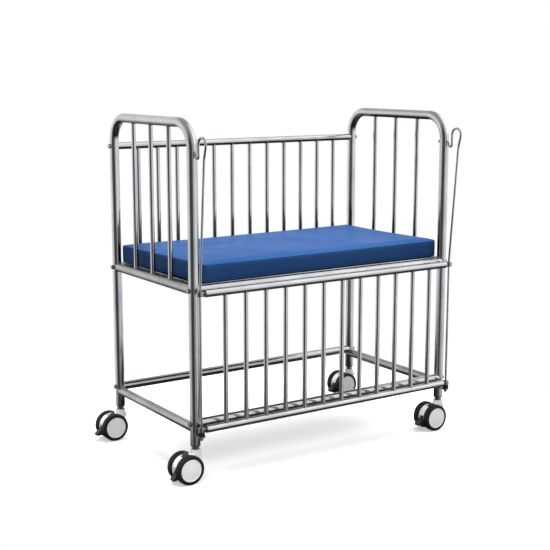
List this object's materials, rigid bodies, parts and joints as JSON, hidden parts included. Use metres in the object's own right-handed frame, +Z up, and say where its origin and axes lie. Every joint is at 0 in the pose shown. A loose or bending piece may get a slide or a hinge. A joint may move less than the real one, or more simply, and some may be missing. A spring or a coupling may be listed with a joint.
{
  "type": "pediatric hospital cot",
  "caption": "Child's hospital cot of stainless-steel tube with hooped barred ends, a fixed barred rear side, a drop side on guide rods, a vinyl mattress and braked twin-wheel casters.",
  "frame": {"origin": "bottom centre of the whole cot, on the floor", "axes": "+X along the cot to its right end, +Y across it to the fixed rear side, +Z up; the drop side is at -Y"},
  "size_m": [1.197, 0.6978, 1.207],
  "materials": {
    "polished_tube": "polished",
    "satin_tube": "satin",
    "rod_steel": "polished",
    "eye_steel": "satin",
    "fastener_steel": "satin",
    "insert_steel": "satin",
    "deck_sheet": "satin",
    "bumper_rubber": "matte",
    "socket_plastic": "matte",
    "mattress_vinyl": "satin",
    "caster_housing": "satin",
    "caster_pin": "satin",
    "brake_pedal": "satin",
    "wheel_tyre": "matte",
    "wheel_rim": "satin"
  },
  "bodies": {
    "frame": {"left_hoop": "polished_tube", "right_hoop": "polished_tube", "end_spindles": "polished_tube", "rear_bars": "polished_tube", "rear_top_rail": "polished_tube", "left_deck_rail": "satin_tube", "right_deck_rail": "satin_tube", "left_base_rail": "satin_tube", "right_base_rail": "satin_tube", "front_deck_rail": "satin_tube", "rear_deck_rail": "satin_tube", "front_base_rail": "satin_tube", "rear_base_rail": "satin_tube", "left_guide_rod": "rod_steel", "right_guide_rod": "rod_steel", "rod_brackets": "rod_steel", "frame_bolts": "fastener_steel", "deck_fasteners": "fastener_steel", "rod_nuts": "fastener_steel", "caster_stems": "fastener_steel", "rail_inserts": "insert_steel", "mattress_deck": "deck_sheet", "deck_ribs": "deck_sheet", "rod_bumpers": "bumper_rubber", "caster_sockets": "socket_plastic"},
    "side_runner": {"lower_eyes": "eye_steel"},
    "drop_side": {"side_top_rail": "polished_tube", "side_bottom_rail": "polished_tube", "side_bars": "polished_tube", "upper_eyes": "eye_steel"},
    "mattress": {"mattress": "mattress_vinyl"},
    "front_left_swivel": {"front_left_housing": "caster_housing", "front_left_pins": "caster_pin"},
    "front_left_pedal": {"front_left_pedal": "brake_pedal"},
    "front_left_outer_wheel": {"front_left_outer_tyre": "wheel_tyre", "front_left_outer_rim": "wheel_rim"},
    "front_left_inner_wheel": {"front_left_inner_tyre": "wheel_tyre", "front_left_inner_rim": "wheel_rim"},
    "rear_left_swivel": {"rear_left_housing": "caster_housing", "rear_left_pins": "caster_pin"},
    "rear_left_pedal": {"rear_left_pedal": "brake_pedal"},
    "rear_left_outer_wheel": {"rear_left_outer_tyre": "wheel_tyre", "rear_left_outer_rim": "wheel_rim"},
    "rear_left_inner_wheel": {"rear_left_inner_tyre": "wheel_tyre", "rear_left_inner_rim": "wheel_rim"},
    "front_right_swivel": {"front_right_housing": "caster_housing", "front_right_pins": "caster_pin"},
    "front_right_pedal": {"front_right_pedal": "brake_pedal"},
    "front_right_outer_wheel": {"front_right_outer_tyre": "wheel_tyre", "front_right_outer_rim": "wheel_rim"},
    "front_right_inner_wheel": {"front_right_inner_tyre": "wheel_tyre", "front_right_inner_rim": "wheel_rim"},
    "rear_right_swivel": {"rear_right_housing": "caster_housing", "rear_right_pins": "caster_pin"},
    "rear_right_pedal": {"rear_right_pedal": "brake_pedal"},
    "rear_right_outer_wheel": {"rear_right_outer_tyre": "wheel_tyre", "rear_right_outer_rim": "wheel_rim"},
    "rear_right_inner_wheel": {"rear_right_inner_tyre": "wheel_tyre", "rear_right_inner_rim": "wheel_rim"}
  },
  "joints": [
    {"name": "side_lift", "type": "slide", "parent": "frame", "child": "side_runner", "axis": [0, 0, 1], "range_m": [0, 0.42]},
    {"name": "side_tilt", "type": "hinge", "parent": "side_runner", "child": "drop_side", "pos_m": [0.03955, -0.29811, 0.185], "axis": [1, 0, 0], "range_deg": [0, 4.3]},
    {"name": "mattress_lift", "type": "slide", "parent": "frame", "child": "mattress", "axis": [0, 0, 1], "range_m": [0, 0.6]},
    {"name": "front_left_swivel", "type": "hinge", "parent": "frame", "child": "front_left_swivel", "pos_m": [-0.49545, -0.25611, 0.1], "axis": [0, 0, 1], "continuous": true},
    {"name": "front_left_outer_roll", "type": "hinge", "parent": "front_left_swivel", "child": "front_left_outer_wheel", "pos_m": [-0.53345, -0.25611, 0.05], "axis": [0, 1, 0], "continuous": true},
    {"name": "front_left_inner_roll", "type": "hinge", "parent": "front_left_swivel", "child": "front_left_inner_wheel", "pos_m": [-0.53345, -0.25611, 0.05], "axis": [0, 1, 0], "continuous": true},
    {"name": "front_left_brake", "type": "hinge", "parent": "front_left_swivel", "child": "front_left_pedal", "pos_m": [-0.55537, -0.25611, 0.07192], "axis": [0, -1, 0], "range_deg": [-14, 0]},
    {"name": "rear_left_swivel", "type": "hinge", "parent": "frame", "child": "rear_left_swivel", "pos_m": [-0.49545, 0.30789, 0.1], "axis": [0, 0, 1], "continuous": true},
    {"name": "rear_left_outer_roll", "type": "hinge", "parent": "rear_left_swivel", "child": "rear_left_outer_wheel", "pos_m": [-0.53345, 0.30789, 0.05], "axis": [0, 1, 0], "continuous": true},
    {"name": "rear_left_inner_roll", "type": "hinge", "parent": "rear_left_swivel", "child": "rear_left_inner_wheel", "pos_m": [-0.53345, 0.30789, 0.05], "axis": [0, 1, 0], "continuous": true},
    {"name": "rear_left_brake", "type": "hinge", "parent": "rear_left_swivel", "child": "rear_left_pedal", "pos_m": [-0.55537, 0.30789, 0.07192], "axis": [0, -1, 0], "range_deg": [0, 14]},
    {"name": "front_right_swivel", "type": "hinge", "parent": "frame", "child": "front_right_swivel", "pos_m": [0.57455, -0.25611, 0.1], "axis": [0, 0, 1], "continuous": true},
    {"name": "front_right_outer_roll", "type": "hinge", "parent": "front_right_swivel", "child": "front_right_outer_wheel", "pos_m": [0.53655, -0.25611, 0.05], "axis": [0, 1, 0], "continuous": true},
    {"name": "front_right_inner_roll", "type": "hinge", "parent": "front_right_swivel", "child": "front_right_inner_wheel", "pos_m": [0.53655, -0.25611, 0.05], "axis": [0, 1, 0], "continuous": true},
    {"name": "front_right_brake", "type": "hinge", "parent": "front_right_swivel", "child": "front_right_pedal", "pos_m": [0.51463, -0.25611, 0.07192], "axis": [0, -1, 0], "range_deg": [0, 14]},
    {"name": "rear_right_swivel", "type": "hinge", "parent": "frame", "child": "rear_right_swivel", "pos_m": [0.57455, 0.30789, 0.1], "axis": [0, 0, 1], "continuous": true},
    {"name": "rear_right_outer_roll", "type": "hinge", "parent": "rear_right_swivel", "child": "rear_right_outer_wheel", "pos_m": [0.53655, 0.30789, 0.05], "axis": [0, 1, 0], "continuous": true},
    {"name": "rear_right_inner_roll", "type": "hinge", "parent": "rear_right_swivel", "child": "rear_right_inner_wheel", "pos_m": [0.53655, 0.30789, 0.05], "axis": [0, 1, 0], "continuous": true},
    {"name": "rear_right_brake", "type": "hinge", "parent": "rear_right_swivel", "child": "rear_right_pedal", "pos_m": [0.51463, 0.30789, 0.07192], "axis": [0, -1, 0], "range_deg": [0, 14]}
  ],
  "couplings": [
    {"joint": "side_tilt", "follows": "side_lift", "rad_per_m": 0.17485}
  ]
}
